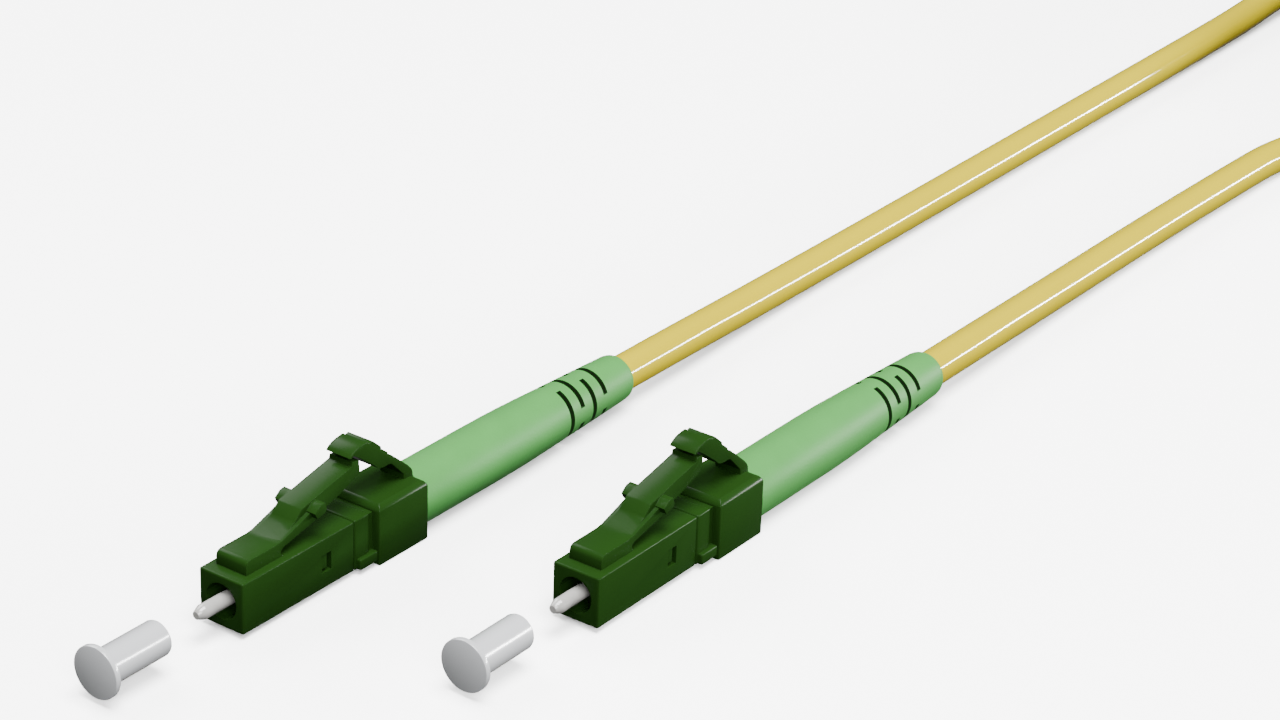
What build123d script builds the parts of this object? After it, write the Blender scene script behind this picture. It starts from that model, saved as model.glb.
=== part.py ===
from build123d import *
import math
import os

os.makedirs("parts", exist_ok=True)

# Patch cable with a small latching plug on each end of one cord, laid on a flat surface.
# Each plug is drawn in its own frame: the fibre's axis is Y, the front face is y = 0,
# the ferrule points to -Y, the cord leaves to +Y and the latch is on top (+Z).

# Front housing
body_width = 4.45
body_edge = 0.16
seam_y = 12.93
seam_gap = 0.06
mouth_bore = 3.1
mouth_depth = 2.05
shoulder_wall = 0.6
shoulder_bore = 1.9
chamber_bore = 3.5
window_y = 9.1
window_length = 1.1
window_height = 1.6

# Latch block and latch lever, outlines as (y, z)
block_width = 3.1
block_front = 1.2
block_top = 3.42
block_round = 0.45
hinge_y = 5.15
hinge_z = 3.2
hinge_radius = 0.33
hinge_clearance = 0.04
arm_width = 2.4
arm_top = [(6.2, 3.82), (7.1, 4.2), (8.0, 5.08), (13.9, 6.33), (14.0, 6.68)]
arm_rear = [(14.75, 6.6), (14.85, 5.42), (12.4, 4.5), (10.6, 4.03), (9.4, 3.78)]
arm_foot = [(8.4, 3.56), (6.6, 3.16)]
ramp_top = [(6.2, 3.82), (7.2, 4.15), (8.6, 4.62), (9.1, 5.17), (9.65, 5.25), (9.95, 4.6), (10.1, 4.1)]
lug_width = 4.2
lug_outline = [(8.8, 4.15), (8.5, 4.7), (9.1, 5.17), (9.65, 5.25), (9.9, 4.65), (9.75, 4.35)]

# Rear body, foot rails and clip collar
flange_end_y = 14.75
neck_width = 4.0
rail_out = 0.4
rail_start_y = 13.25
rail_height = 0.95
collar_start_y = 15.4
collar_length = 6.0
collar_width = 5.5
collar_height = 5.35
collar_round = 0.55
slip = 0.03

# Trigger lever, outlines as (y, z)
trigger_width = 2.5
trigger_pivot_y = 20.75
trigger_pivot_z = 3.2
trigger_radius = 0.5
trigger_root = 0.35
trigger_belly = [(18.3, 4.78), (17.25, 4.84), (16.5, 5.45)]
trigger_under = [(14.85, 6.7), (14.1, 7.25), (13.8, 7.05), (13.6, 7.15)]
trigger_lip = [(13.6, 7.15), (14.4, 7.68), (15.6, 7.85)]
trigger_ribs = [(15.95, 7.62), (16.25, 7.72), (17.4, 6.74), (17.4, 6.55), (18.17, 5.94), (18.25, 5.73)]
belly_end = (18.62, 4.72)
rib_end = (18.7, 5.45)
knuckle_width = 1.3
knuckle_z = 2.85
knuckle_foot = 2.1

# Ferrule and what drives it
ferrule_diameter = 1.249
ferrule_out = 2.82
ferrule_tip_cone = 0.75
tip_diameter = 0.62
grip_diameter = 0.92
grip_lead = 0.15
grip_depth = 2.0
tip_angle = 8.0
flange_diameter = 2.8
flange_flats = 2.5
flange_length = 2.3
flange_tail = 1.6
tail_length = 3.0
seat_gap = 0.03
ferrule_travel = 1.0
buffer_diameter = 0.9
spring_wire = 0.3
spring_outer = 2.6
spring_turns = 7

# Crimp and boot
sleeve_bore = 2.75
post_diameter = 2.9
post_bore = 1.5
post_length = 5.6
neck_end_gap = 0.5
fibre_end_gap = 0.3
spring_seat_wall = 0.55
tab_inset = 0.08
sleeve_lead = 0.35
crimp_wall = 0.35
crimp_step = 0.5
crimp_start_gap = 0.15
crimp_grip_end = 0.6
crimp_end_y = 30.5
boot_start_y = 21.45
boot_end_y = 50.2
boot_diameter = 5.4
boot_end_wall = 0.39
boot_taper_y = 34.0
boot_step_start = 0.6
boot_step_end = 2.0
boot_end_round = 0.3
slit_rows_y = [40.9, 42.5, 44.15, 45.8]
slit_length = 0.55
slit_arc = 145.0

# Dust cap, pulled off and lying in line with its ferrule
cap_gap = 4.08
cap_length = 6.7
cap_flange_diameter = 4.4
cap_flange = 0.55
cap_diameter = 3.0
cap_edge = 0.12
cap_bore_clearance = 0.03
cap_bore_depth = 5.3

# Cord
cord_diameter = 3.3
cord_clearance = 0.06

# How the two plugs lie beside each other
plug_spacing = 20.3
plug_stagger = 17.95
plug_a_y = -27.29

# Coil of the cord's unseen length, and its ties
coil_x = 8.6
coil_y = 168.0
coil_radius = 20.2
coil_pitch = 3.4
coil_layer_turns = 3.25
turn_clearance = 0.03
ring_spare = 0.1
ring_edge_gap = 0.05
stub_length = 13.0
stub_straight = 10.0
run_straight_a = 7.0
run_straight_b = 8.0
tie_thickness = 0.5
tie_width = 2.6
tie_slack = 0.15
tie_bend = 0.45
buckle_length = 3.8
buckle_width = 3.4
buckle_height = 1.4
buckle_round = 0.3

# Derived places
half = body_width / 2
axis_height = boot_diameter / 2
chamber_start_y = mouth_depth + shoulder_wall
sleeve_outer = chamber_bore - 2 * slip
sleeve_start_y = window_y - sleeve_lead
flange_start_y = chamber_start_y + seat_gap
flange_end = flange_start_y + flange_length
spring_end_y = seam_y - spring_seat_wall
rear_face_y = seam_y + seam_gap
neck_end_y = collar_start_y + collar_length - neck_end_gap
post_end_y = neck_end_y + post_length
ferrule_end_y = flange_start_y + grip_depth
grip_start_y = mouth_depth - grip_lead
buffer_end_y = post_end_y - ferrule_travel - fibre_end_gap
crimp_start_y = boot_start_y + crimp_start_gap
crimp_grip_y = post_end_y - crimp_grip_end
grip_in = post_diameter / 2 + slip
jacket_in = cord_diameter / 2 + cord_clearance
boot_bore = 2 * (jacket_in + crimp_wall + slip)
cord_hole = cord_diameter + 2 * cord_clearance
boot_end_diameter = cord_hole + 2 * boot_end_wall
slit_floor = cord_hole / 2 - slip
cap_front_y = -ferrule_out - cap_gap - cap_length
low_turn_z = tie_thickness + cord_diameter / 2 + turn_clearance
high_turn_z = low_turn_z + cord_diameter + turn_clearance
ring_height = 2 * cord_diameter + ring_spare
hinge_top = (hinge_y, hinge_z + hinge_radius)
hinge_foot = (hinge_y, hinge_z - hinge_radius)
trigger_foot = (trigger_pivot_y - trigger_root, trigger_pivot_z - trigger_root)
trigger_back = (trigger_pivot_y + trigger_root, trigger_pivot_z + trigger_root)
ring_outer = coil_radius + cord_diameter / 2
ring_inner = coil_radius - coil_pitch * coil_layer_turns - cord_diameter / 2
loop_depth = ring_outer - ring_inner + 2 * (tie_slack + tie_thickness)
loop_height = ring_height + tie_slack + 2 * tie_thickness
plug_places = {
    "a": Location((-plug_spacing / 2, plug_a_y, axis_height)),
    "b": Location((plug_spacing / 2, plug_a_y + plug_stagger, axis_height)),
}


def save_pair(name, part):
    """Write one plug's piece twice, where the two plugs lie."""
    for end, place in plug_places.items():
        copy = part.moved(place)
        copy.label = f"{name}_{end}"
        export_step(copy, f"parts/{name}_{end}.step")


# Front housing: square body, latch block on top, bored through for the ferrule
with BuildPart() as front_housing:
    with BuildSketch(Plane.XZ):
        Rectangle(body_width, body_width)
    extrude(amount=-seam_y)
    chamfer(front_housing.edges().filter_by(Axis.Y), body_edge)
    with BuildSketch(Plane.YZ) as block:
        with BuildLine():
            Polyline(
                (block_front, half - body_edge),
                (block_front, block_top),
                hinge_top,
                (hinge_y, half - body_edge),
                close=True,
            )
        make_face()
        fillet(block.vertices().sort_by(Axis.Y)[:2].sort_by(Axis.Z)[-1], block_round)
    extrude(amount=block_width / 2, both=True)
    with BuildSketch(Plane.YZ):
        with Locations((hinge_y, hinge_z)):
            Circle(hinge_radius + hinge_clearance)
    extrude(amount=block_width / 2, both=True, mode=Mode.SUBTRACT)
    with BuildSketch(Plane.XZ):
        Circle(mouth_bore / 2)
    extrude(amount=-mouth_depth, mode=Mode.SUBTRACT)
    with BuildSketch(Plane.XZ.offset(-mouth_depth)):
        Circle(shoulder_bore / 2)
    extrude(amount=-shoulder_wall, mode=Mode.SUBTRACT)
    with BuildSketch(Plane.XZ.offset(-chamber_start_y)):
        Circle(chamber_bore / 2)
    extrude(amount=chamber_start_y - seam_y, mode=Mode.SUBTRACT)
    with BuildSketch(Plane.YZ):
        with Locations((window_y + window_length / 2, 0)):
            Rectangle(window_length, window_height)
    extrude(amount=body_width, both=True, mode=Mode.SUBTRACT)
save_pair("front_housing", front_housing.part)

# Latch lever: sprung arm behind the block, with a ramp and a locking lug on each side
with BuildPart() as latch_lever:
    with BuildSketch(Plane.YZ):
        with BuildLine():
            Polyline(hinge_top, *arm_top, *arm_rear, *arm_foot, hinge_foot, close=True)
        make_face()
    extrude(amount=arm_width / 2, both=True)
    with BuildSketch(Plane.YZ):
        with BuildLine():
            Polyline(hinge_top, *ramp_top, arm_rear[-1], *arm_foot, hinge_foot, close=True)
        make_face()
        with Locations((hinge_y, hinge_z)):
            Circle(hinge_radius)
    extrude(amount=block_width / 2, both=True)
    with BuildSketch(Plane.YZ):
        with BuildLine():
            Polyline(*lug_outline, close=True)
        make_face()
    extrude(amount=lug_width / 2, both=True)
save_pair("latch_lever", latch_lever.part)

# Rear body: snap sleeve inside the housing, visible block, neck under the collar, crimp post
with BuildPart() as rear_body:
    with BuildSketch(Plane.XZ.offset(-rear_face_y)):
        Rectangle(body_width, body_width)
    extrude(amount=rear_face_y - flange_end_y)
    chamfer(rear_body.edges().filter_by(Axis.Y), body_edge)
    with BuildSketch(Plane.XZ.offset(-flange_end_y)):
        Rectangle(neck_width, neck_width)
    extrude(amount=flange_end_y - neck_end_y)
    with BuildSketch(Plane.XZ.offset(-neck_end_y)):
        Circle(post_diameter / 2)
    extrude(amount=-post_length)
    with BuildSketch(Plane.XZ.offset(-sleeve_start_y)):
        Circle(sleeve_outer / 2)
    extrude(amount=sleeve_start_y - rear_face_y)
    with BuildSketch(Plane.XZ.offset(-rail_start_y)):
        with Locations((0, -half + rail_height / 2)):
            Rectangle(body_width + 2 * rail_out, rail_height)
    extrude(amount=rail_start_y - collar_start_y + slip)
    with BuildSketch(Plane.YZ):
        with Locations((window_y + window_length / 2, 0)):
            Rectangle(window_length - 2 * tab_inset, window_height - 2 * tab_inset)
    extrude(amount=half - tab_inset, both=True)
    with BuildSketch(Plane.XZ.offset(-sleeve_start_y)):
        Circle(sleeve_bore / 2)
    extrude(amount=sleeve_start_y - spring_end_y, mode=Mode.SUBTRACT)
    with BuildSketch(Plane.XZ.offset(-spring_end_y)):
        Circle(post_bore / 2)
    extrude(amount=spring_end_y - post_end_y, mode=Mode.SUBTRACT)
save_pair("rear_body", rear_body.part)

# Clip collar: sleeve over the neck, with the trigger's knuckle on top at the rear
with BuildPart() as clip_collar:
    with BuildSketch(Plane.XZ.offset(-collar_start_y)):
        Rectangle(collar_width, collar_height)
    extrude(amount=-collar_length)
    long_edges = clip_collar.edges().filter_by(Axis.Y).group_by(Axis.Z)
    fillet(long_edges[-1], collar_round)
    fillet(clip_collar.edges().filter_by(Axis.Y).group_by(Axis.Z)[0], collar_round / 2)
    with BuildSketch(Plane.YZ):
        with Locations((trigger_pivot_y, (knuckle_z + knuckle_foot) / 2)):
            Rectangle(knuckle_width, knuckle_z - knuckle_foot)
    extrude(amount=trigger_width / 2, both=True)
    with BuildSketch(Plane.YZ):
        with Locations((trigger_pivot_y, trigger_pivot_z)):
            Circle(trigger_radius + hinge_clearance)
    extrude(amount=collar_width, both=True, mode=Mode.SUBTRACT)
    with BuildSketch(Plane.XZ.offset(-collar_start_y)):
        Rectangle(neck_width + 2 * slip, neck_width + 2 * slip)
    extrude(amount=-collar_length, mode=Mode.SUBTRACT)
save_pair("clip_collar", clip_collar.part)

# Trigger lever: arm over the latch with a curved lip, grip ribs and a round belly
with BuildPart() as trigger_lever:
    with BuildSketch(Plane.YZ):
        with BuildLine():
            Polyline(trigger_foot, belly_end, trigger_belly[0])
            ThreePointArc(*trigger_belly)
            Polyline(trigger_belly[-1], *trigger_under)
            ThreePointArc(*trigger_lip)
            Polyline(trigger_lip[-1], *trigger_ribs, rib_end, trigger_back, trigger_foot)
        make_face()
        with Locations((trigger_pivot_y, trigger_pivot_z)):
            Circle(trigger_radius)
    extrude(amount=trigger_width / 2, both=True)
save_pair("trigger_lever", trigger_lever.part)

# Ferrule: ceramic pin with a conical tip and a slanted end face
with BuildPart() as ferrule:
    with BuildSketch(Plane.YZ):
        with BuildLine():
            Polyline(
                (-ferrule_out, 0),
                (-ferrule_out, tip_diameter / 2),
                (-ferrule_out + ferrule_tip_cone, ferrule_diameter / 2),
                (grip_start_y, ferrule_diameter / 2),
                (grip_start_y, grip_diameter / 2),
                (ferrule_end_y, grip_diameter / 2),
                (ferrule_end_y, 0),
                close=True,
            )
        make_face()
    revolve(axis=Axis.Y)
    slant = Plane(
        origin=(0, -ferrule_out + tip_diameter / 2 * math.tan(math.radians(tip_angle)), 0),
        z_dir=(math.sin(math.radians(tip_angle)), math.cos(math.radians(tip_angle)), 0),
    )
    split(bisect_by=slant, keep=Keep.TOP)
save_pair("ferrule", ferrule.part)

# Ferrule flange: metal seat with six flats and a tail that guides the spring
with BuildPart() as ferrule_flange:
    with BuildSketch(Plane.XZ.offset(-flange_start_y)):
        Circle(flange_diameter / 2)
        RegularPolygon(flange_flats / 2, 6, major_radius=False, mode=Mode.INTERSECT)
    extrude(amount=-flange_length)
    with BuildSketch(Plane.XZ.offset(-flange_end)):
        Circle(flange_tail / 2)
    extrude(amount=-tail_length)
    with BuildSketch(Plane.XZ.offset(-flange_start_y)):
        Circle((grip_diameter + slip) / 2)
    extrude(amount=flange_start_y - ferrule_end_y, mode=Mode.SUBTRACT)
    with BuildSketch(Plane.XZ.offset(-ferrule_end_y)):
        Circle(buffer_diameter / 2 + slip / 2)
    extrude(amount=ferrule_end_y - flange_end - tail_length, mode=Mode.SUBTRACT)
save_pair("ferrule_flange", ferrule_flange.part)

# Buffered fibre behind the ferrule, free to slide in the crimp post
with BuildPart() as buffered_fibre:
    with BuildSketch(Plane.XZ.offset(-ferrule_end_y)):
        Circle(buffer_diameter / 2)
    extrude(amount=ferrule_end_y - buffer_end_y)
save_pair("buffered_fibre", buffered_fibre.part)

# Ferrule spring between the flange and the snap sleeve's floor
with BuildPart() as ferrule_spring:
    spring_length = spring_end_y - flange_end - spring_wire
    with BuildLine():
        wire_path = Helix(
            pitch=spring_length / spring_turns,
            height=spring_length,
            radius=(spring_outer - spring_wire) / 2,
            center=(0, flange_end + spring_wire / 2, 0),
            direction=(0, 1, 0),
        )
    with BuildSketch(Plane(origin=wire_path @ 0, z_dir=wire_path % 0)):
        RegularPolygon(spring_wire / 2, 6)
    sweep(path=wire_path, is_frenet=True)
save_pair("ferrule_spring", ferrule_spring.part)

# Crimp sleeve: stepped metal tube over the post and the end of the jacket
with BuildPart() as crimp_sleeve:
    with BuildSketch(Plane.YZ):
        with BuildLine():
            Polyline(
                (crimp_start_y, grip_in),
                (crimp_start_y, grip_in + crimp_wall),
                (crimp_grip_y, grip_in + crimp_wall),
                (crimp_grip_y + crimp_step, jacket_in + crimp_wall),
                (crimp_end_y, jacket_in + crimp_wall),
                (crimp_end_y, jacket_in),
                (crimp_grip_y + crimp_step, jacket_in),
                (crimp_grip_y, grip_in),
                close=True,
            )
        make_face()
    revolve(axis=Axis.Y)
save_pair("crimp_sleeve", crimp_sleeve.part)

# Boot: tapered rubber sleeve with rows of slits near the cord
with BuildPart() as boot:
    with BuildSketch(Plane.YZ) as boot_half:
        with BuildLine():
            Polyline(
                (boot_start_y, boot_bore / 2),
                (boot_start_y, boot_diameter / 2),
                (boot_taper_y, boot_diameter / 2),
                (boot_end_y, boot_end_diameter / 2),
                (boot_end_y, cord_hole / 2),
                (crimp_end_y + boot_step_end, cord_hole / 2),
                (crimp_end_y + boot_step_start, boot_bore / 2),
                close=True,
            )
        make_face()
        fillet(boot_half.vertices().group_by(Axis.Y)[-1].sort_by(Axis.Z)[-1], boot_end_round)
    revolve(axis=Axis.Y)
    for row, slit_y in enumerate(slit_rows_y):
        for side in range(2):
            turn = 180 * side + 90 * (row % 2) - slit_arc / 2
            with BuildSketch(Plane.XY.rotated((0, turn, 0))):
                with Locations(((slit_floor + boot_diameter / 2) / 2, slit_y)):
                    Rectangle(boot_diameter / 2 - slit_floor, slit_length)
            revolve(axis=Axis.Y, revolution_arc=slit_arc, mode=Mode.SUBTRACT)
save_pair("boot", boot.part)

# Dust cap: flanged tube that pushes over the ferrule
with BuildPart() as dust_cap:
    with BuildSketch(Plane.XZ.offset(-cap_front_y)):
        Circle(cap_flange_diameter / 2)
    extrude(amount=-cap_flange)
    with BuildSketch(Plane.XZ.offset(-cap_front_y - cap_flange)):
        Circle(cap_diameter / 2)
    extrude(amount=cap_flange - cap_length)
    fillet(dust_cap.faces().sort_by(Axis.Y)[0].edges(), cap_edge)
    fillet(dust_cap.faces().sort_by(Axis.Y)[-1].edges(), cap_edge)
    with BuildSketch(Plane.XZ.offset(-cap_front_y - cap_length + cap_bore_depth)):
        Circle(ferrule_diameter / 2 + cap_bore_clearance)
    extrude(amount=-cap_bore_depth, mode=Mode.SUBTRACT)
save_pair("dust_cap", dust_cap.part)


def cord_tube(name, points):
    """A round tube along straight runs joined by arcs as large as the runs allow."""
    corners = [Vector(*point) for point in points]
    radii = []
    for before, corner, after in zip(corners, corners[1:], corners[2:]):
        shorter = min((corner - before).length, (after - corner).length)
        turn = math.radians((corner - before).get_angle(after - corner))
        radii.append(0.45 * shorter / math.tan(turn / 2))
    with BuildPart() as tube:
        with BuildLine():
            route = FilletPolyline(*points, radius=radii)
        with BuildSketch(Plane(origin=route @ 0, z_dir=route % 0)):
            Circle(cord_diameter / 2)
        sweep(path=route)
    section = math.pi * cord_diameter**2 / 4
    print(name, "length", round(route.length, 1), "radii", [round(r, 1) for r in radii])
    print(name, "volume", round(tube.part.volume, 1), "section x length", round(section * route.length, 1))
    tube.part.label = name
    export_step(tube.part, f"parts/{name}.step")
    return route.length


# Cord from plug a to the coil, and from the coil back to plug b
floor_z = cord_diameter / 2
run_a = [
    (-plug_spacing / 2, plug_a_y + post_end_y, axis_height),
    (-plug_spacing / 2, 27.0, axis_height),
    (-10.95, 44.0, 1.8),
    (-11.1, 70.0, floor_z),
    (-11.25, 102.0, floor_z + 0.02),
    (-11.4, 128.0, floor_z),
    (-11.5, 141.0, floor_z + 0.05),
    (coil_x - coil_radius, coil_y - stub_length - run_straight_a, low_turn_z),
    (coil_x - coil_radius, coil_y - stub_length, low_turn_z),
]
run_b = [
    (plug_spacing / 2, plug_a_y + plug_stagger + post_end_y, axis_height),
    (plug_spacing / 2, 45.0, axis_height),
    (9.35, 62.0, 1.8),
    (9.2, 84.0, floor_z),
    (9.5, 100.0, floor_z + 0.02),
    (9.8, 109.0, floor_z + 0.02),
    (13.6, 120.5, floor_z),
    (21.6, 130.5, floor_z + 0.1),
    (27.2, 139.0, 3.5),
    (coil_x + coil_radius, coil_y - stub_length - run_straight_b, high_turn_z),
    (coil_x + coil_radius, coil_y - stub_length, high_turn_z),
]
length_a = cord_tube("cable_run_a", run_a)
length_b = cord_tube("cable_run_b", run_b)

# Coil of the length that is put away, as one ring with a stub for each run
with BuildPart() as cable_coil:
    with BuildSketch(Plane.XZ.offset(-coil_y)) as ring:
        with Locations((coil_x + (ring_outer + ring_inner) / 2, tie_thickness + ring_height / 2)):
            RectangleRounded(ring_outer - ring_inner, ring_height, cord_diameter / 2 - ring_edge_gap)
    revolve(axis=Axis((coil_x, coil_y, 0), (0, 0, 1)))
    for side, height in ((-1, low_turn_z), (1, high_turn_z)):
        with BuildSketch(Plane.XZ.offset(-(coil_y - stub_length))):
            with Locations((coil_x + side * coil_radius, height)):
                Circle(cord_diameter / 2)
        extrude(amount=-stub_straight)
cable_coil.part.label = "cable_coil"
export_step(cable_coil.part, "parts/cable_coil.step")
coil_length = 2 * stub_length + 4 * math.pi * coil_layer_turns * (
    coil_radius - coil_pitch * coil_layer_turns / 2
)
print("cord length", round(length_a + length_b + coil_length, 1))

# Two straps that hold the coil's turns
for number, side in ((1, -1), (2, 1)):
    middle = coil_y + side * (ring_outer + ring_inner) / 2
    with BuildPart() as cable_tie:
        with BuildSketch(Plane.YZ.offset(coil_x)):
            with Locations((middle, loop_height / 2)):
                Rectangle(loop_depth, loop_height)
            with Locations((middle, tie_thickness + (loop_height - 2 * tie_thickness) / 2)):
                Rectangle(
                    loop_depth - 2 * tie_thickness,
                    loop_height - 2 * tie_thickness,
                    mode=Mode.SUBTRACT,
                )
        extrude(amount=tie_width / 2, both=True)
        fillet(cable_tie.edges().filter_by(Axis.X).group_by(Axis.Z)[-1], tie_bend)
        with BuildSketch(Plane.XY.offset(loop_height)):
            with Locations((coil_x, middle)):
                Rectangle(buckle_length, buckle_width)
        extrude(amount=buckle_height)
        fillet(cable_tie.faces().sort_by(Axis.Z)[-1].edges(), buckle_round)
    cable_tie.part.label = f"cable_tie_{number}"
    export_step(cable_tie.part, f"parts/cable_tie_{number}.step")
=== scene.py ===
import bpy
import math
from mathutils import Matrix, Vector


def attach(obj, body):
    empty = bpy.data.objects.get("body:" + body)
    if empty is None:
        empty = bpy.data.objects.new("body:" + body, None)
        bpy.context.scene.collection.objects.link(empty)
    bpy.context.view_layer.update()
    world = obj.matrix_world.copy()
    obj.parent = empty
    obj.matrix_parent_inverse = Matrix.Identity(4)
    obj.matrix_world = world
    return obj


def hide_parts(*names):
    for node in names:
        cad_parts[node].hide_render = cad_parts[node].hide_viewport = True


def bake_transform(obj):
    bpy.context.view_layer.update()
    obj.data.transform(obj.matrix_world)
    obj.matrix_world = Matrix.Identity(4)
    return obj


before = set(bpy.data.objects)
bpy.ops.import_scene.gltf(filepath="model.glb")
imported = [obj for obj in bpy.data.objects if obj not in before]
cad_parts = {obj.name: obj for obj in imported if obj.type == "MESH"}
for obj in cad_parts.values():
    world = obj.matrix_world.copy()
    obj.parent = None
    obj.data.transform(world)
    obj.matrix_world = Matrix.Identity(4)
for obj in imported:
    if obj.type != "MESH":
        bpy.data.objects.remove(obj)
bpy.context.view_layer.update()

mm = 0.001  # the pieces and the camera are given in millimetres, the table and the lamps in metres
plugPlaces = {"a": Vector((-10.15, -27.29, 2.7)), "b": Vector((10.15, -9.34, 2.7))}  # front face centres


def clearSelection():
    if bpy.context.mode != "OBJECT":
        bpy.ops.object.mode_set(mode="OBJECT")
    bpy.ops.object.select_all(action="DESELECT")


def drawLine(name, points):
    # one vertex pulled out along the points, left in edit mode with all of it selected
    clearSelection()
    bpy.ops.mesh.primitive_plane_add(size=mm)
    line = bpy.context.object
    line.name = name
    bpy.ops.object.mode_set(mode="EDIT")
    bpy.ops.mesh.select_all(action="SELECT")
    bpy.ops.mesh.merge(type="CENTER")
    spots = [Vector(p) * mm for p in points]
    bpy.ops.transform.translate(value=spots[0])
    for here, there in zip(spots, spots[1:]):
        bpy.ops.mesh.extrude_region_move(TRANSFORM_OT_translate={"value": there - here})
    bpy.ops.mesh.select_all(action="SELECT")
    return line


def turnLine(name, profile, steps, angle=360):
    # (y, radius) points spun round the fibre's axis; less than a full turn is closed at its ends
    line = drawLine(name, [(0, y, r) for y, r in profile])
    bpy.ops.mesh.spin(steps=steps, angle=math.radians(angle), center=(0, 0, 0), axis=(0, 1, 0))
    bpy.ops.mesh.select_all(action="SELECT")
    bpy.ops.mesh.remove_doubles(threshold=1e-6)
    if angle < 360:
        bpy.ops.mesh.select_all(action="DESELECT")
        bpy.ops.mesh.select_non_manifold()
        bpy.ops.mesh.fill_holes(sides=0)
        bpy.ops.mesh.select_all(action="SELECT")
    bpy.ops.mesh.normals_make_consistent(inside=False)
    bpy.ops.object.mode_set(mode="OBJECT")
    return line


def cutSlab(name, profile, halfWidth):
    # (y, z) outline filled and pulled out to both sides of the middle plane
    slab = drawLine(name, [(-halfWidth, y, z) for y, z in profile])
    bpy.ops.mesh.edge_face_add()
    bpy.ops.mesh.select_all(action="SELECT")
    bpy.ops.mesh.extrude_region_move(TRANSFORM_OT_translate={"value": (2 * halfWidth * mm, 0, 0)})
    bpy.ops.mesh.select_all(action="SELECT")
    bpy.ops.mesh.normals_make_consistent(inside=False)
    bpy.ops.object.mode_set(mode="OBJECT")
    return slab


def addBlock(name, low, high):
    clearSelection()
    low, high = Vector(low) * mm, Vector(high) * mm
    bpy.ops.mesh.primitive_cube_add(size=1, location=(low + high) / 2, scale=high - low)
    block = bpy.context.object
    block.name = name
    bpy.ops.object.transform_apply(location=True, rotation=True, scale=True)
    return block


def addBar(name, halfWidth, ends, halfHeight):
    # a block centred on the fibre's axis, between two distances along it
    return addBlock(name, (-halfWidth, ends[0], -halfHeight), (halfWidth, ends[1], halfHeight))


def addRod(name, radius, ends, sides):
    # a round rod along the fibre's axis
    clearSelection()
    start, end = ends
    bpy.ops.mesh.primitive_cylinder_add(
        vertices=sides, radius=radius * mm, depth=(end - start) * mm,
        location=(0, (start + end) / 2 * mm, 0), rotation=(math.pi / 2, 0, 0))
    rod = bpy.context.object
    rod.name = name
    bpy.ops.object.transform_apply(location=True, rotation=True, scale=True)
    return rod


def applyModifier(piece, kind, **settings):
    clearSelection()
    piece.select_set(True)
    bpy.context.view_layer.objects.active = piece
    modifier = piece.modifiers.new(kind.lower(), kind)
    for key, value in settings.items():
        setattr(modifier, key, value)
    bpy.ops.object.modifier_apply(modifier=modifier.name)


def joinWith(piece, other):
    applyModifier(piece, "BOOLEAN", operation="UNION", object=other, solver="EXACT")
    bpy.data.objects.remove(other)


def cutWith(piece, other, **settings):
    applyModifier(piece, "BOOLEAN", operation="DIFFERENCE", object=other, solver="EXACT", **settings)
    bpy.data.objects.remove(other)


def roundEdges(piece, width, segments=3, angle=35):
    applyModifier(piece, "BEVEL", width=width * mm, segments=segments, limit_method="ANGLE",
                  angle_limit=math.radians(angle), use_clamp_overlap=True, harden_normals=False)


def smoothFaces(piece, angle=32):
    clearSelection()
    piece.select_set(True)
    bpy.context.view_layer.objects.active = piece
    bpy.ops.object.shade_smooth_by_angle(angle=math.radians(angle))


def mixColours(nodes, links, fac, first, second):
    # a mix node's inputs 0, 6 and 7 and its output 2 are those of its colour mode
    mix = nodes.new("ShaderNodeMix")
    mix.data_type = "RGBA"
    links.new(fac, mix.inputs[0])
    mix.inputs[6].default_value = (*first, 1)
    mix.inputs[7].default_value = (*second, 1)
    return mix.outputs[2]


def addNoise(nodes, links, place, scale, detail):
    noise = nodes.new("ShaderNodeTexNoise")
    noise.inputs["Scale"].default_value = scale
    noise.inputs["Detail"].default_value = detail
    links.new(place, noise.inputs["Vector"])
    return noise.outputs["Fac"]


def makeFinish(name, light, dark, patch, grain, rough, spread, bump, depth=0.02, **fixed):
    # light and dark colours in soft patches, a fine grain in the bump, and uneven gloss
    finish = bpy.data.materials.new(name)
    finish.use_nodes = True
    nodes, links = finish.node_tree.nodes, finish.node_tree.links
    shader = nodes["Principled BSDF"]
    place = nodes.new("ShaderNodeTexCoord").outputs["Object"]
    cloud = addNoise(nodes, links, place, patch, detail=4)
    fine = addNoise(nodes, links, place, grain, detail=3)
    links.new(mixColours(nodes, links, cloud, dark, light), shader.inputs["Base Color"])
    gloss = nodes.new("ShaderNodeMapRange")
    gloss.inputs["To Min"].default_value = rough - spread
    gloss.inputs["To Max"].default_value = rough + spread
    links.new(cloud, gloss.inputs["Value"])
    links.new(gloss.outputs["Result"], shader.inputs["Roughness"])
    relief = nodes.new("ShaderNodeBump")
    relief.inputs["Strength"].default_value = bump
    relief.inputs["Distance"].default_value = depth * mm
    links.new(fine, relief.inputs["Height"])
    links.new(relief.outputs["Normal"], shader.inputs["Normal"])
    for key, value in fixed.items():
        shader.inputs[key.replace("_", " ")].default_value = value
    return finish


def dressNode(node, finish):
    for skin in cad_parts[node].material_slots:
        skin.material = finish


def layOut(master, name, nodes, body, finish, hinge=None):
    # the finished master is copied to both plugs, each copy with its own mesh
    for end, place in plugPlaces.items():
        piece = master.copy()
        piece.data = master.data.copy()
        piece.name = f"{name}_{end}"
        bpy.context.collection.objects.link(piece)
        piece.data.transform(Matrix.Translation(place * mm))
        if not piece.data.materials:
            piece.data.materials.append(finish)
        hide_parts(*[f"{node}_{end}" for node in nodes])
        if hinge:
            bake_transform(piece)
        else:
            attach(piece, body if body == "plugs_and_cord" else f"{body}_{end}")
    bpy.data.objects.remove(master)
    print("laid out", name)


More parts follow.
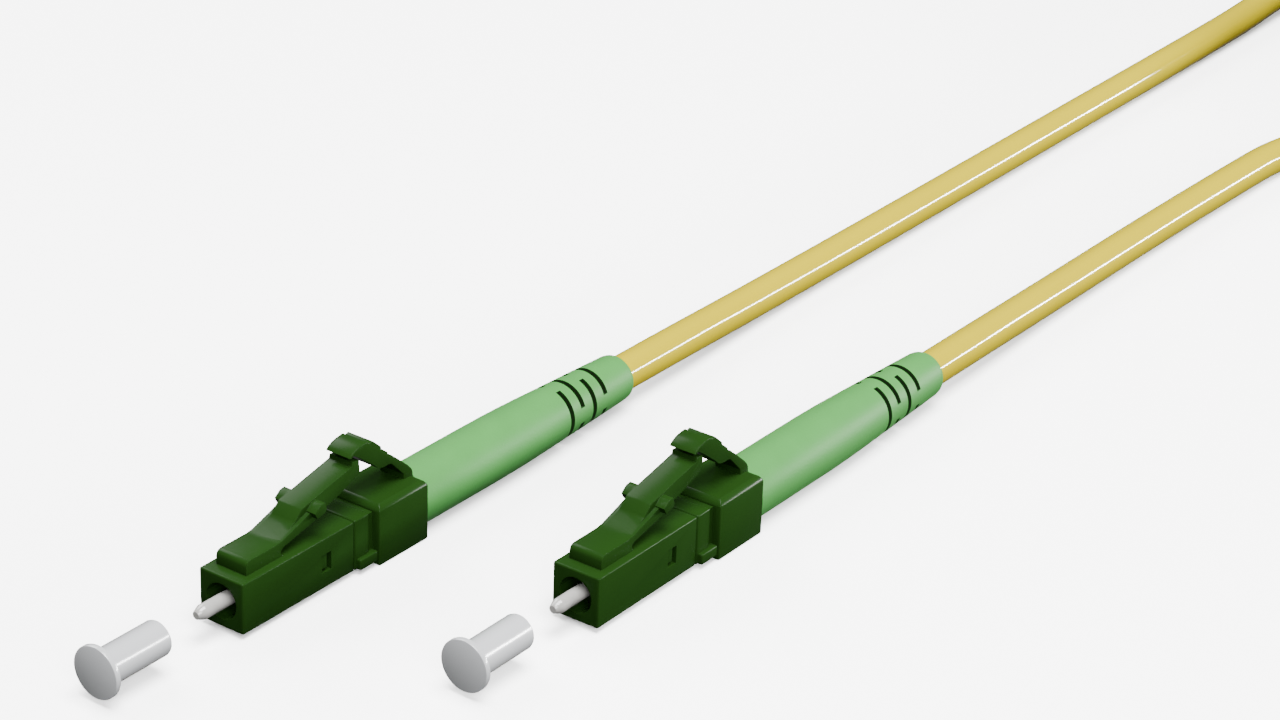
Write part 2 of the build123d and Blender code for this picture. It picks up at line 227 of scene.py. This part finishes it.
# camera: where the photograph was taken from
camera = {"place": (150.21, -196.54, 138.33), "azimuth": 35.729, "elevation": 26.242, "roll": 1.934,
          "lens": 98.41, "sensor": 36, "nearest": 10}
az, el, roll = [math.radians(camera[k]) for k in ("azimuth", "elevation", "roll")]
back = Vector((math.sin(az) * math.cos(el), -math.cos(az) * math.cos(el), math.sin(el)))
right = Vector((math.cos(az), math.sin(az), 0))
up = back.cross(right)
rolledRight = right * math.cos(roll) + up * math.sin(roll)
rolledUp = up * math.cos(roll) - right * math.sin(roll)
clearSelection()
bpy.ops.object.camera_add()
eye = bpy.context.object
turn = Matrix((rolledRight, rolledUp, back)).transposed().to_4x4()
eye.matrix_world = Matrix.Translation(Vector(camera["place"]) * mm) @ turn
eye.data.lens = camera["lens"]
eye.data.sensor_width = camera["sensor"]
eye.data.clip_start = camera["nearest"] * mm
bpy.context.scene.camera = eye
print("camera set")


# cord: from plug a, into the coil, out again and to plug b
cord = {
    "diameter": 3.3, "length": 0.925,
    "fromA": [(-10.15, -0.79, 2.7), (-10.15, 27.0, 2.7), (-10.95, 44.0, 1.8), (-11.1, 70.0, 1.65),
              (-11.25, 102.0, 1.67), (-11.4, 128.0, 1.65), (-11.5, 141.0, 1.7), (-11.6, 148.0, 2.18),
              (-11.6, 158.0, 2.18)],
    "toB": [(28.8, 158.0, 5.51), (28.8, 147.0, 5.51), (27.2, 139.0, 3.5), (21.6, 130.5, 1.75),
            (13.6, 120.5, 1.65), (9.8, 109.0, 1.67), (9.5, 100.0, 1.67), (9.2, 84.0, 1.65),
            (9.35, 62.0, 1.8), (10.15, 45.0, 2.7), (10.15, 17.16, 2.7)],
    "coilCentre": (8.6, 168.0), "coilRadius": 20.2, "coilPitch": 3.4, "layerTurns": 3.25,
    "lowTurn": 2.18, "highTurn": 5.51, "climbTurns": 0.25, "perTurn": 18, "innerDip": 0.7,
}
steps = round(2 * cord["layerTurns"] * cord["perTurn"])
outward = 1 / math.cos(math.pi / cord["perTurn"])  # the curve runs inside its control points
coilPoints = []
for step in range(steps + 1):
    # inwards on the table, a short climb, and outwards again on top
    turned = step / cord["perTurn"]
    inward = min(turned, 2 * cord["layerTurns"] - turned)
    climb = min(1, max(0, (turned - cord["layerTurns"]) / cord["climbTurns"] + 0.5))
    radius = (cord["coilRadius"] - cord["coilPitch"] * inward) * outward
    radius -= cord["innerDip"] * math.sin(math.pi * climb)
    around = math.pi - 2 * math.pi * turned
    coilPoints.append((cord["coilCentre"][0] + radius * math.cos(around),
                       cord["coilCentre"][1] + radius * math.sin(around),
                       cord["lowTurn"] + (cord["highTurn"] - cord["lowTurn"]) * climb))
route = cord["fromA"] + coilPoints + cord["toB"]
line = bpy.data.curves.new("cord", "CURVE")
line.dimensions = "3D"
strand = line.splines.new("NURBS")
strand.points.add(len(route) - 1)
for point, spot in zip(strand.points, route):
    point.co = (*(Vector(spot) * mm), 1)
strand.order_u = 3
strand.use_endpoint_u = True
strand.resolution_u = 10
line.bevel_depth = cord["diameter"] / 2 * mm
line.bevel_resolution = 7
line.use_fill_caps = True
patchCord = bpy.data.objects.new("patchCord", line)
bpy.context.collection.objects.link(patchCord)
line.materials.append(makeFinish(
    "yellowJacket", light=(0.19, 0.15, 0.0001), dark=(0.172, 0.135, 0.0001), patch=60, grain=4200,
    rough=0.1, spread=0.02, bump=0.03, Specular_IOR_Level=0.18))
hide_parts("cable_run_a", "cable_run_b", "cable_coil")
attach(patchCord, "plugs_and_cord")
print("cord laid")


# finishes of the plugs, the caps and the inner pieces
green = makeFinish("housingGreen", light=(0.0043, 0.0152, 0.0022), dark=(0.0036, 0.0128, 0.0018), patch=300,
                   grain=9000, rough=0.25, spread=0.04, bump=0.12, Specular_IOR_Level=0.022)
bootGreen = makeFinish("bootGreen", light=(0.026, 0.103, 0.023), dark=(0.02, 0.084, 0.018), patch=260,
                       grain=6000, rough=0.5, spread=0.06, bump=1.0, Specular_IOR_Level=0.05)
# painted shade: a dark green finish for the slit walls, standing in for the shade that falls inside the slits
slitPaintedShade = makeFinish("bootSlitsPaintedShade", light=(0.004, 0.014, 0.003), dark=(0.003, 0.011, 0.002), patch=260,
                       grain=7000, rough=0.7, spread=0.06, bump=0.9, Specular_IOR_Level=0.05)
capPlastic = makeFinish("capPlastic", light=(0.2, 0.204, 0.208), dark=(0.18, 0.184, 0.188), patch=200,
                        grain=5000, rough=0.2, spread=0.05, bump=0.1, Specular_IOR_Level=0.3)
zirconia = makeFinish("zirconia", light=(0.16, 0.158, 0.15), dark=(0.135, 0.132, 0.125), patch=400,
                      grain=9000, rough=0.12, spread=0.03, bump=0.05, Specular_IOR_Level=0.4)
plated = makeFinish("platedFlange", light=(0.62, 0.6, 0.55), dark=(0.5, 0.48, 0.44), patch=500,
                    grain=8000, rough=0.3, spread=0.06, bump=0.3, Metallic=1.0)
springSteel = makeFinish("springSteel", light=(0.6, 0.6, 0.6), dark=(0.48, 0.48, 0.48), patch=500,
                         grain=9000, rough=0.28, spread=0.05, bump=0.3, Metallic=1.0)
crimped = makeFinish("crimpMetal", light=(0.64, 0.64, 0.66), dark=(0.5, 0.5, 0.52), patch=500,
                     grain=6000, rough=0.38, spread=0.06, bump=0.5, Metallic=1.0)
bufferSkin = makeFinish("bufferSkin", light=(0.85, 0.84, 0.8), dark=(0.78, 0.77, 0.72), patch=300,
                        grain=6000, rough=0.35, spread=0.05, bump=0.2)
strapBlack = makeFinish("strapBlack", light=(0.03, 0.03, 0.032), dark=(0.018, 0.018, 0.02), patch=300,
                        grain=5000, rough=0.5, spread=0.08, bump=0.6)


# front housing: square tube with mouth, shoulder and side windows
housing = {"half": 2.225, "edge": 0.16, "ends": (0, 12.93), "mouth": 1.55, "mouthEnds": (-1, 2.05),
           "hole": 0.95, "holeEnds": (1, 3), "chamber": 1.75, "chamberEnds": (2.65, 14),
           "window": (9.1, 10.2), "windowHalf": 0.8, "windowReach": 3}
shell = addBar("housing", housing["half"], housing["ends"], housing["half"])
roundEdges(shell, housing["edge"], 4)
cutWith(shell, addRod("mouth", housing["mouth"], housing["mouthEnds"], 72))
cutWith(shell, addRod("hole", housing["hole"], housing["holeEnds"], 48))
cutWith(shell, addRod("chamber", housing["chamber"], housing["chamberEnds"], 64))
cutWith(shell, addBar("window", housing["windowReach"], housing["window"], housing["windowHalf"]))
smoothFaces(shell)
layOut(shell, "housing", ["front_housing"], "plugs_and_cord", green)

# latch: block on the housing and the sprung lever behind it, in one
latch = {"half": 1.2, "blockHalf": 1.55, "lugHalf": 2.1, "round": 0.05, "hinge": ((0, 4.7, 3.2), (0, 5.9, 3.2)),
         "arm": [(5.3, 3.53), (6.2, 3.82), (7.08, 4.18), (7.16, 4.26), (7.9, 5.0), (8.05, 5.09), (13.9, 6.33),
                 (14.0, 6.68), (14.75, 6.6), (14.85, 5.42), (12.4, 4.5), (10.6, 4.03), (9.4, 3.78), (8.4, 3.56),
                 (6.6, 3.16), (5.3, 3.0)],
         "block": [(1.2, 2.0), (1.2, 2.95), (1.28, 3.2), (1.45, 3.36), (1.7, 3.42), (4.6, 3.43), (5.3, 3.53),
                   (6.2, 3.82), (7.2, 4.15), (8.6, 4.62), (9.1, 5.17), (9.65, 5.25), (9.95, 4.6), (10.1, 4.1),
                   (9.4, 3.78), (8.4, 3.56), (6.6, 3.16), (5.6, 2.96), (5.36, 2.88), (5.2, 2.74), (5.15, 2.58),
                   (5.17, 2.42), (5.26, 2.29), (5.4, 2.22), (5.4, 2.0)],
         "lug": [(8.8, 4.15), (8.5, 4.7), (9.1, 5.17), (9.65, 5.25), (9.9, 4.65), (9.75, 4.35)]}
lever = cutSlab("latch", latch["block"], latch["blockHalf"])
joinWith(lever, cutSlab("arm", latch["arm"], latch["half"]))
joinWith(lever, cutSlab("lug", latch["lug"], latch["lugHalf"]))
roundEdges(lever, latch["round"])
smoothFaces(lever)
layOut(lever, "latch", ["latch_lever"], "latch", green, hinge=latch["hinge"])

# rear body: flange block, neck, foot rails, crimp post and the snap sleeve with its tabs
rear = {"half": 2.225, "edge": 0.16, "flange": (12.99, 14.75), "neckHalf": 2.0, "neck": (14, 20.9),
        "railOut": 2.625, "rail": (13.25, 15.37), "railTop": -1.28, "railEdge": 0.12,
        "post": 1.45, "postEnds": (20, 26.5), "sleeve": 1.72, "sleeveEnds": (8.75, 13.5),
        "tabOut": 2.1, "tab": (9.16, 9.86), "tabHeights": (-0.55, 0.76), "tabEdge": 0.1,
        "springRoom": 1.375, "springEnds": (8, 12.38), "fibreRoom": 0.75, "fibreEnds": (12, 27)}
body = addBar("rearBody", rear["half"], rear["flange"], rear["half"])
roundEdges(body, rear["edge"], 4)
joinWith(body, addBar("neck", rear["neckHalf"], rear["neck"], rear["neckHalf"]))
rails = addBlock("rails", (-rear["railOut"], rear["rail"][0], -rear["half"]),
                 (rear["railOut"], rear["rail"][1], rear["railTop"]))
roundEdges(rails, rear["railEdge"])
joinWith(body, rails)
joinWith(body, addRod("post", rear["post"], rear["postEnds"], 48))
joinWith(body, addRod("sleeve", rear["sleeve"], rear["sleeveEnds"], 48))
tab = addBlock("tab", (-rear["tabOut"], rear["tab"][0], rear["tabHeights"][0]),
               (rear["tabOut"], rear["tab"][1], rear["tabHeights"][1]))
roundEdges(tab, rear["tabEdge"])
joinWith(body, tab)
cutWith(body, addRod("springRoom", rear["springRoom"], rear["springEnds"], 48))
cutWith(body, addRod("fibreRoom", rear["fibreRoom"], rear["fibreEnds"], 32))
smoothFaces(body)
layOut(body, "rearBody", ["rear_body"], "plugs_and_cord", green)

# clip collar: its two top edges are rounded more than the others
collar = {"halfWidth": 2.75, "halfHeight": 2.675, "ends": (15.4, 21.4), "topRound": 0.55, "edge": 0.1,
          "bore": 2.03, "boreEnds": (15, 22)}
clip = addBar("collar", collar["halfWidth"], collar["ends"], collar["halfHeight"])
bpy.ops.object.mode_set(mode="EDIT")
bpy.ops.mesh.select_all(action="DESELECT")
bpy.ops.object.mode_set(mode="OBJECT")
for edge in clip.data.edges:
    near, far = [clip.data.vertices[v].co for v in edge.vertices]
    edge.select = abs(near.y - far.y) > mm and near.z > 0
bpy.ops.object.mode_set(mode="EDIT")
bpy.ops.mesh.bevel(offset=collar["topRound"] * mm, segments=8)
bpy.ops.object.mode_set(mode="OBJECT")
roundEdges(clip, collar["edge"])
cutWith(clip, addBar("bore", collar["bore"], collar["boreEnds"], collar["bore"]))
smoothFaces(clip)
layOut(clip, "collar", ["clip_collar"], "plugs_and_cord", green)

# trigger: root on the collar, arm, round belly, ribs and the curved lip over the latch
trigger = {"half": 1.25, "round": 0.05, "hinge": ((0, 20.75, 2.7), (0, 20.75, 3.5)),
           "profile": [(20.15, 2.4), (20.15, 3.15), (18.72, 4.62), (18.6, 4.7), (18.3, 4.78), (17.9, 4.76),
                       (17.5, 4.8), (17.15, 4.9), (16.85, 5.08), (16.5, 5.42), (14.85, 6.7), (14.1, 7.22),
                       (13.8, 7.05), (13.6, 7.15), (13.9, 7.42), (14.3, 7.62), (14.8, 7.76), (15.3, 7.82),
                       (15.6, 7.84), (15.93, 7.62), (16.25, 7.72), (16.45, 7.58), (17.38, 6.76), (17.4, 6.55),
                       (18.17, 5.95), (18.24, 5.73), (18.7, 5.45), (19.7, 4.6), (20.7, 3.72), (21.1, 3.3),
                       (21.25, 3.0), (21.3, 2.4)]}
arm = cutSlab("trigger", trigger["profile"], trigger["half"])
roundEdges(arm, trigger["round"])
smoothFaces(arm)
layOut(arm, "trigger", ["trigger_lever"], "trigger", green, hinge=trigger["hinge"])

# boot: turned sleeve with rows of slits cut through to the cord's hole, on alternate sides; the slits' cut
# walls get a dark finish, painted shade inside the slits
boot = {"outside": [(21.45, 2.62), (21.48, 2.68), (21.56, 2.7), (30, 2.7), (33, 2.69), (35.5, 2.65), (38, 2.57),
                    (42, 2.42), (46, 2.27), (49.6, 2.12), (49.9, 2.07), (50.1, 1.97), (50.2, 1.83)],
        "inside": [(50.2, 1.69), (32.5, 1.69), (31.1, 2.1), (21.45, 2.1)],
        "rows": (40.9, 42.5, 44.15, 45.8), "slit": 0.55, "slitDepths": (1.69, 4), "arc": 145}
sleeve = turnLine("boot", boot["inside"][-1:] + boot["outside"] + boot["inside"], 96)
sleeve.data.materials.append(bootGreen)
deep, clear = boot["slitDepths"]
for row, y in enumerate(boot["rows"]):
    near, far = y - boot["slit"] / 2, y + boot["slit"] / 2
    for side in range(2):
        cutter = turnLine("slit", [(near, deep), (near, clear), (far, clear), (far, deep), (near, deep)],
                          32, boot["arc"])
        turned = math.radians(180 * side + 90 * ((row + 1) % 2) + boot["arc"] / 2)
        cutter.data.transform(Matrix.Rotation(turned, 4, "Y"))
        # the cutter carries the painted shade finish onto the slit walls it cuts
        cutter.data.materials.append(slitPaintedShade)
        cutWith(sleeve, cutter, material_mode="TRANSFER")
smoothFaces(sleeve, 40)
layOut(sleeve, "boot", ["boot"], "plugs_and_cord", bootGreen)

# ferrule with its cone and polished end
pin = turnLine("ferrule", [(4.68, 0), (4.68, 0.6245), (-2.07, 0.6245), (-2.12, 0.612), (-2.77, 0.36),
                           (-2.82, 0.3), (-2.82, 0)], 64)
smoothFaces(pin, 30)
layOut(pin, "ferrule", ["ferrule"], "ferrule_set", zirconia)

# dust cap: thin flange, barrel and open bore
cap = {"front": -13.6, "length": 6.7, "flange": 2.2, "flangeThick": 0.55, "barrel": 1.5, "bore": 0.655,
       "depth": 5.3}
front, rim, mouth = cap["front"], cap["front"] + cap["flangeThick"], cap["front"] + cap["length"]
flange, barrel, bore = cap["flange"], cap["barrel"], cap["bore"]
hood = turnLine("cap", [(front, 0), (front, flange - 0.08), (front + 0.025, flange - 0.025),
                        (front + 0.08, flange), (rim - 0.14, flange), (rim - 0.04, flange - 0.04),
                        (rim, flange - 0.13), (rim, barrel + 0.12), (rim + 0.035, barrel + 0.035),
                        (rim + 0.12, barrel), (mouth - 0.22, barrel), (mouth - 0.07, barrel - 0.05),
                        (mouth, barrel - 0.2), (mouth, bore + 0.1), (mouth - 0.05, bore + 0.03),
                        (mouth - 0.15, bore), (mouth - cap["depth"], bore), (mouth - cap["depth"], 0)], 80)
smoothFaces(hood, 40)
layOut(hood, "cap", ["dust_cap"], "cap", capPlastic)

# inner pieces and ties keep their solids
for end in plugPlaces:
    dressNode(f"ferrule_flange_{end}", plated)
    dressNode(f"ferrule_spring_{end}", springSteel)
    dressNode(f"buffered_fibre_{end}", bufferSkin)
    dressNode(f"crimp_sleeve_{end}", crimped)
for number in (1, 2):
    dressNode(f"cable_tie_{number}", strapBlack)
print("finishes on")


# table top and studio light; the table shows only its own face, and throws no light on the pieces
room = {"floor": 3.0, "world": 0.16}
clearSelection()
bpy.ops.mesh.primitive_plane_add(size=room["floor"])
tableTop = bpy.context.object
tableTop.name = "tableTop"
tableTop.data.materials.append(makeFinish(
    "paleTable", light=(0.9, 0.9, 0.9), dark=(0.88, 0.88, 0.88), patch=3, grain=80,
    rough=0.8, spread=0.03, bump=0.02, Specular_IOR_Level=0.1))
tableTop.visible_diffuse = False
tableTop.visible_glossy = False
world = bpy.data.worlds.new("studio")
bpy.context.scene.world = world
world.use_nodes = True
world.node_tree.nodes["Background"].inputs["Color"].default_value = (1, 1, 1, 1)
world.node_tree.nodes["Background"].inputs["Strength"].default_value = room["world"]
lamps = {"above": {"place": (0.15, -0.05, 0.75), "wide": 0.5, "tall": 0.5, "power": 38},
         "side": {"place": (-0.4, 0.1, 0.35), "wide": 0.3, "tall": 0.3, "power": 5},
         "front": {"place": (0.5, -0.45, 0.45), "wide": 0.4, "tall": 0.4, "power": 16},
         "strip": {"place": (0.42, 0.55, 0.09), "wide": 0.45, "tall": 0.035, "power": 20}}
for name, lamp in lamps.items():
    clearSelection()
    bpy.ops.object.light_add(type="AREA", location=lamp["place"])
    light = bpy.context.object
    light.name = name
    light.data.shape = "RECTANGLE"
    light.data.size = lamp["wide"]
    light.data.size_y = lamp["tall"]
    light.data.energy = lamp["power"]
    light.rotation_euler = (-Vector(lamp["place"])).to_track_quat("-Z", "Y").to_euler()
print("stage lit")
